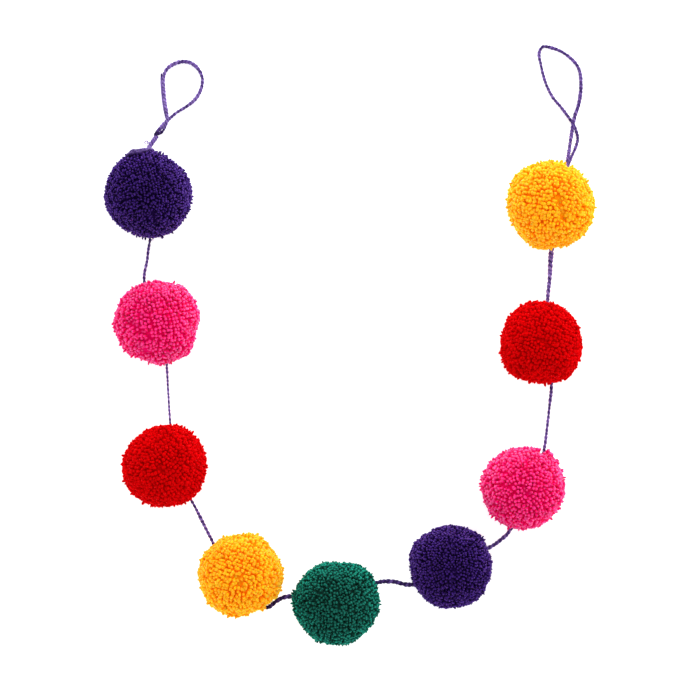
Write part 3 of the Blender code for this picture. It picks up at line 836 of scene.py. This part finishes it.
def spun_directions(count, chance):
    """Directions spread evenly over a ball, each moved a little, with the whole turned at random."""
    number = np.arange(count) + 0.5
    height = 1 - 2 * number / count
    angle = number * math.pi * (3 - math.sqrt(5))
    flat = np.sqrt(1 - height**2)
    ways = np.column_stack([flat * np.cos(angle), flat * np.sin(angle), height])
    ways = ways + chance.normal(0, STRAY_SHARE * math.sqrt(4 * math.pi / count), ways.shape)
    turn, _ = np.linalg.qr(chance.normal(size=(3, 3)))
    return unit(ways @ turn)


def ripples(chance, points, count, low, high):
    """Smooth noise over a ball, about from -1 to 1, with one column for each of x, y and z."""
    ways = unit(chance.normal(size=(count, 3))) * chance.uniform(low, high, (count, 1))
    shifts = chance.uniform(0, 2 * math.pi, (count, 3))
    sizes = chance.normal(0, 1, (count, 3))
    waves = np.cos((points @ ways.T)[:, :, None] + shifts[None]) * sizes[None]
    return waves.sum(axis=1) / math.sqrt(count)


def parting_push(ways, radius, partings):
    """How far the partings push each strand's end aside, and how much they shorten it, in metres."""
    push, shorter = np.zeros_like(ways), np.zeros(len(ways))
    for start, end, deep in partings:
        ends = []
        for x, y in (start, end):
            flat = np.array((x, y)) * MM / radius
            ends.append((*flat, math.sqrt(max(0.05, 1 - flat @ flat))))
        first, last = np.array(ends)
        line = last - first
        share = np.clip(((ways - first) @ line) / (line @ line), 0, 1)
        away = ways - (first + share[:, None] * line)
        gap = np.linalg.norm(away, axis=1, keepdims=True)
        near = np.exp(-((gap / PARTING_WIDTH) ** 2))
        push += away / (gap + 0.01) * near * PARTING_PUSH * deep / 3
        shorter += near[:, 0] * deep * MM
    return push, shorter


def strand_layout(row, radius, centre, chance):
    """Where a pompom's strands go.

    It gives each strand's way out at its root and at its end, its end's distance from the middle, its width and
    whether it stands proud of the rest."""
    yarn = YARNS[row["yarn"]]
    pitch = yarn["pitch"] * MM
    count = int(4 * math.pi * radius**2 / (PACKING * pitch**2))
    ways = spun_directions(count, chance)
    drift = DRIFT[0] * ripples(chance, ways, 16, 4, 9) + DRIFT[1] * ripples(chance, ways, 24, 14, 26)
    push, shorter = parting_push(ways, radius, row["partings"])
    leaning = unit(ways + drift + push + chance.normal(0, LEAN_SPREAD, ways.shape))
    angle = np.arctan2(leaning[:, 1], leaning[:, 0])
    flat = np.hypot(leaning[:, 0], leaning[:, 1])
    lumps = sum(
        size * MM * np.cos(order * angle + math.radians(turn)) for order, size, turn in row["lumps"]
    )
    length = radius + flat**2 * lumps - shorter
    length = length + SWELL * ripples(chance, ways, 20, 5, 16)[:, 0]
    length = length + chance.normal(0, LENGTH_SPREAD, count).clip(-LENGTH_MOST, LENGTH_MOST)
    proud = chance.uniform(0, 1, count) < PROUD_SHARE
    length = length + proud * pitch * chance.uniform(*PROUD_REACH, count)
    for x, y, reach, deep in row.get("notches", ()):
        over = np.hypot(leaning[:, 0] * length - x * MM, leaning[:, 1] * length - y * MM) < reach * MM
        length = length - over * deep * MM
    low = leaning[:, 2] < LOW_SIDE
    rest = np.where(low, (centre[2] - FLOOR_CLEARANCE) / np.where(low, -leaning[:, 2], 1.0), 1.0)
    length = np.minimum(length, rest)
    width = pitch * 0.5 * yarn["full"] * (1 + chance.normal(0, WIDTH_SPREAD, count)).clip(*WIDTH_LIMITS)
    width = width * np.where(proud, PROUD_WIDTH, 1.0)
    return ways, leaning, length, width, proud


def clear_of_cords(roots, tips, centre, radius, cord_points):
    """Which strands stay clear of the cords where these go in and out of a pompom."""
    steps = np.linspace(0, 1, 9)[None, :, None]
    axis = roots[:, None] + (tips - roots)[:, None] * steps
    near = np.full(len(roots), 1.0)
    for point in cord_points:
        if abs(np.linalg.norm(point - centre) - radius) < CORD_SHELL * radius:
            near = np.minimum(near, np.linalg.norm(axis - point, axis=-1).min(axis=1))
    return near > CORD_CLEARANCE


def add_strands(parts, roots, tips, width, proud, leaning, chance):
    """A pompom's strands: closed tubes with slanted, low-domed ends. It gives each strand's own number."""
    count = len(roots)
    axis = unit(tips - roots)
    side = unit(np.cross(axis, unit(chance.normal(size=(count, 3)))))
    other = np.cross(axis, side)
    angles = np.arange(SIDES) * 2 * math.pi / SIDES + chance.uniform(0, 2 * math.pi, (count, 1))
    squeeze = 1 + SQUEEZE * chance.normal(size=(count, 1)) * np.cos(2 * angles)
    across, along_other = (np.cos(angles) * squeeze)[..., None], (np.sin(angles) * squeeze)[..., None]
    around = across * side[:, None] + along_other * other[:, None]
    slope = chance.uniform(0.0, SLANT, (count, 1))
    slant = (slope * np.cos(angles - chance.uniform(0, 2 * math.pi, (count, 1))))[..., None]
    strand = chance.uniform(0, 1, count)
    span = np.linalg.norm(tips - roots, axis=1)
    shapes = [roots[:, None]]
    fibres = [np.zeros((count, 1, 3))]
    depths = [np.zeros((count, 1))]
    # Painted rim light: strands that point out sideways are painted lighter than those on top
    rim_painted_share = np.hypot(leaning[:, 0], leaning[:, 1]) ** 3
    for back, wide, depth, cut, lift in STRAND_RINGS:
        middle = tips - axis * (back * width)[:, None]
        girth = (width * wide * np.where(proud, 1 - PROUD_TAPER * cut, 1.0))[:, None, None]
        shapes.append(middle[:, None] + (around + axis[:, None] * slant * cut) * girth)
        reach = (span - back * width) / MM
        twist = angles + STRAND_FIBRE_TWIST * reach[:, None]
        reaches = np.repeat(reach[:, None], SIDES, 1)
        fibres.append(np.stack([np.cos(twist), np.sin(twist), reaches], axis=-1))
        # Each ring's painted light: painted shade deep towards the root, plus painted rim light round the side
        depths.append(np.repeat((depth + lift * rim_painted_share)[:, None], SIDES, 1))
    shapes.append(tips[:, None])
    fibres.append(np.stack([np.zeros(count), np.zeros(count), span / MM], axis=-1)[:, None])
    # The end's middle carries the painted highlight, with more painted rim light round the side
    depths.append((END_PAINTED_LIGHT + END_RIM_PAINTED_LIGHT * rim_painted_share)[:, None])
    points = np.concatenate(shapes, axis=1)
    points[..., 2] = np.maximum(points[..., 2], FLOOR_CLEARANCE)
    fibres = np.concatenate(fibres, axis=1) + (strand * FIBRE_SHIFT)[:, None, None]
    values = np.stack([np.repeat(strand[:, None], points.shape[1], 1), np.concatenate(depths, axis=1)], axis=-1)
    ring = np.arange(SIDES)
    after = np.roll(ring, -1)
    base = (np.arange(count) * points.shape[1])[:, None]
    quads = []
    for number in range(len(STRAND_RINGS) - 1):
        low = base + 1 + number * SIDES
        quads.append(np.stack([low + ring, low + after, low + SIDES + after, low + SIDES + ring], -1))
    top = base + 1 + (len(STRAND_RINGS) - 1) * SIDES
    caps = np.stack([top + ring, top + after, np.repeat(top + SIDES, SIDES, 1)], -1)
    foot = np.stack([base + 1 + after, base + 1 + ring, np.repeat(base, SIDES, 1)], -1)
    parts.add(points, values, fibres, *quads, caps, foot)
    return strand


def add_core(parts, radius, centre):
    """The ball of bound yarn behind the strands' gaps, in the darkest root colour as painted shade deep in the gaps.
    """
    ball = bmesh.new()
    bmesh.ops.create_icosphere(ball, subdivisions=4, radius=radius)
    points = np.array([vertex.co for vertex in ball.verts]) + centre
    faces = np.array([[vertex.index for vertex in face.verts] for face in ball.faces])
    ball.free()
    count = len(points)
    # The core takes the darkest root colour, as painted shade
    parts.add(points, np.column_stack([np.full(count, 0.5), np.zeros(count)]), points / MM, faces)


def add_fluff(parts, roots, tips, leaning, strand, chance):
    """Fine fibres that stand out between a pompom's strands."""
    picked = chance.integers(0, len(tips), HAIRS)
    out = unit(leaning[picked] + chance.normal(0, HAIR_LEAN, (HAIRS, 3)))
    reach = chance.gamma(*HAIR_GAMMA, HAIRS).clip(*HAIR_LIMITS)[:, None] * MM
    axis = unit(tips - roots)
    hair_roots = tips[picked] - axis[picked] * HAIR_SINK * MM + chance.normal(0, HAIR_ROOT_SPREAD, (HAIRS, 3))
    hair_roots[:, 2] = np.maximum(hair_roots[:, 2], FLOOR_CLEARANCE)
    hair_tips = tips[picked] + out * reach
    above = hair_tips[:, 2] > HAIR_CLEARANCE
    depth = np.full(above.sum(), HAIR_PAINTED_LIGHT)
    add_hairs(parts, hair_roots[above], hair_tips[above], HAIR_WIDTH, strand[picked][above], depth)


def pompom(row, seed, cord_points):
    chance = np.random.default_rng(seed)
    radius = row["across"] / 2 - OUTLINE_PULL
    centre = pompom_middle(row)
    ways, leaning, length, width, proud = strand_layout(row, radius, centre, chance)
    roots = centre + ways * ROOT_SHARE * radius
    tips = centre + leaning * length[:, None]
    keep = clear_of_cords(roots, tips, centre, radius, cord_points)
    leaning, roots, tips, width, proud = (values[keep] for values in (leaning, roots, tips, width, proud))
    parts = MeshParts()
    strand = add_strands(parts, roots, tips, width, proud, leaning, chance)
    add_core(parts, CORE_SHARE * radius, centre)
    add_fluff(parts, roots, tips, leaning, strand, chance)
    name = row["node"] + "_yarn"
    add_piece(name, parts.mesh(name), YARN_MATERIALS[row["yarn"]], "yarn_" + row["yarn"], row["node"])


def pompom_middle(row):
    return np.array((*row["place"], CENTRE_HEIGHT_SHARE * row["across"]))


def add_floor():
    bpy.ops.mesh.primitive_circle_add(
        vertices=96, radius=FLOOR_RADIUS, fill_type="NGON", location=(0.0, 0.0, 0.0)
    )
    floor = bpy.context.object
    floor.name = "floor"
    material = bpy.data.materials.new("floor_paper")
    material.use_nodes = True
    tree = material.node_tree
    shader = tree.nodes["Principled BSDF"]
    shader.inputs["Roughness"].default_value = 0.9
    shader.inputs["Specular IOR Level"].default_value = 0.1
    place = add_node(tree, "ShaderNodeTexCoord")
    grain = add_node(tree, "ShaderNodeTexNoise", Scale=FLOOR_GRAIN_SCALE, Detail=3.0)
    link(tree, place.outputs["Object"], grain.inputs["Vector"])
    ramp = add_node(tree, "ShaderNodeValToRGB")
    for step, level in zip(ramp.color_ramp.elements, FLOOR_LEVELS):
        step.color = (level, level, level, 1)
    link(tree, grain.outputs["Fac"], ramp.inputs["Fac"])
    link(tree, ramp.outputs["Color"], shader.inputs["Base Color"])
    shader.inputs["Emission Color"].default_value = (1.0, 1.0, 1.0, 1.0)
    shader.inputs["Emission Strength"].default_value = FLOOR_GLOW
    floor.data.materials.append(material)


def add_key_light():
    data = bpy.data.lights.new("key", "AREA")
    data.shape = "DISK"
    data.size = KEY_SIZE
    data.energy = KEY_POWER
    light = bpy.data.objects.new("key", data)
    bpy.context.scene.collection.objects.link(light)
    light.location = KEY_PLACE
    direction = -light.location.normalized()
    light.rotation_euler = direction.to_track_quat("-Z", "Y").to_euler()
    light.visible_camera = False


def add_room():
    """A pale room that is brighter near the horizon than overhead."""
    world = bpy.data.worlds.new("studio")
    bpy.context.scene.world = world
    world.use_nodes = True
    tree = world.node_tree
    background = tree.nodes["Background"]
    place = add_node(tree, "ShaderNodeTexCoord")
    split = add_node(tree, "ShaderNodeSeparateXYZ")
    link(tree, place.outputs["Generated"], split.inputs["Vector"])
    fade = add_node(tree, "ShaderNodeMapRange", interpolation_type="SMOOTHSTEP")
    fade.inputs["From Min"].default_value = ROOM_FADE[0]
    fade.inputs["From Max"].default_value = ROOM_FADE[1]
    fade.inputs["To Min"].default_value = ROOM_HORIZON
    fade.inputs["To Max"].default_value = ROOM_ZENITH
    link(tree, split.outputs["Z"], fade.inputs["Value"])
    link(tree, fade.outputs["Result"], background.inputs["Strength"])
    background.inputs["Color"].default_value = (1.0, 1.0, 1.0, 1.0)


# The camera and the cords come first
new_camera()
YARN_MATERIALS = {name: yarn_look("yarn_" + name, POMPOM_YARN | yarn) for name, yarn in YARNS.items()}
CORD_MATERIAL = yarn_look("cord_yarn", CORD_YARN)

main_parts, main_points = rope(MAIN_ROUTE, MAIN_LOOK, MAIN_PITCH, 1, before=MAIN_START)
left_parts, left_points = rope(
    LEFT_LOOP_ROUTE, LEFT_LOOP_LOOK, LEFT_LOOP_PITCH, 2, before=LEFT_LOOP_START, after=LEFT_LOOP_END
)
tail_parts, tail_points = rope(
    LEFT_TAIL_ROUTE, LEFT_TAIL_LOOK, LEFT_TAIL_PITCH, 3, plies=1, after=LEFT_TAIL_END
)
right_parts, right_points = rope(RIGHT_LOOP_ROUTE, RIGHT_LOOP_LOOK, RIGHT_LOOP_PITCH, 4)
chance = np.random.default_rng(5)
wisp_homes = (tail_parts, main_parts, left_parts, main_parts, right_parts, right_parts)
for wisp_parts, wisp in zip(wisp_homes, WISPS):
    add_wisp(wisp_parts, *wisp, chance)
knot_parts, _ = rope(knot_route(), KNOT_LOOK, KNOT_PITCH, 6, spacing=FINE_SPACING)
add_knot_core(knot_parts)
cut_parts, _ = rope(CUT_END_ROUTE, CUT_END_LOOK, CUT_END_PITCH, 7, spacing=FINE_SPACING)
loose_parts = MeshParts()
for number in range(LOOSE_STRANDS):
    add_loose_strand(loose_parts, number, pompom_middle(POMPOMS[0]), chance)
for _ in range(CURL_FIBRES):
    add_curl_fibre(loose_parts, chance)


def cord_piece(name, parts, *nodes):
    return add_piece(name, parts.mesh(name), CORD_MATERIAL, "cord", *nodes)


cord_main = cord_piece("cord_main_rope", main_parts, "cord_main")
loop_left = cord_piece("loop_left_rope", left_parts, "loop_left")
tail_left = cord_piece("tail_left_ply", tail_parts, "tail_left")
loop_right = cord_piece("loop_right_rope", right_parts, "loop_right")
knot_winds = cord_piece("knot_left_winds", knot_parts, "knot_left")
knot_cut_end = cord_piece("knot_left_cut_end", cut_parts)
cord_piece("loose_end_left", loose_parts)


for seed, row in enumerate(POMPOMS, FIRST_SEED):
    pompom(row, seed, np.vstack([main_points[::2], right_points[::2]]))

add_floor()
add_room()
add_key_light()
bpy.context.scene.view_settings.view_transform = "Standard"
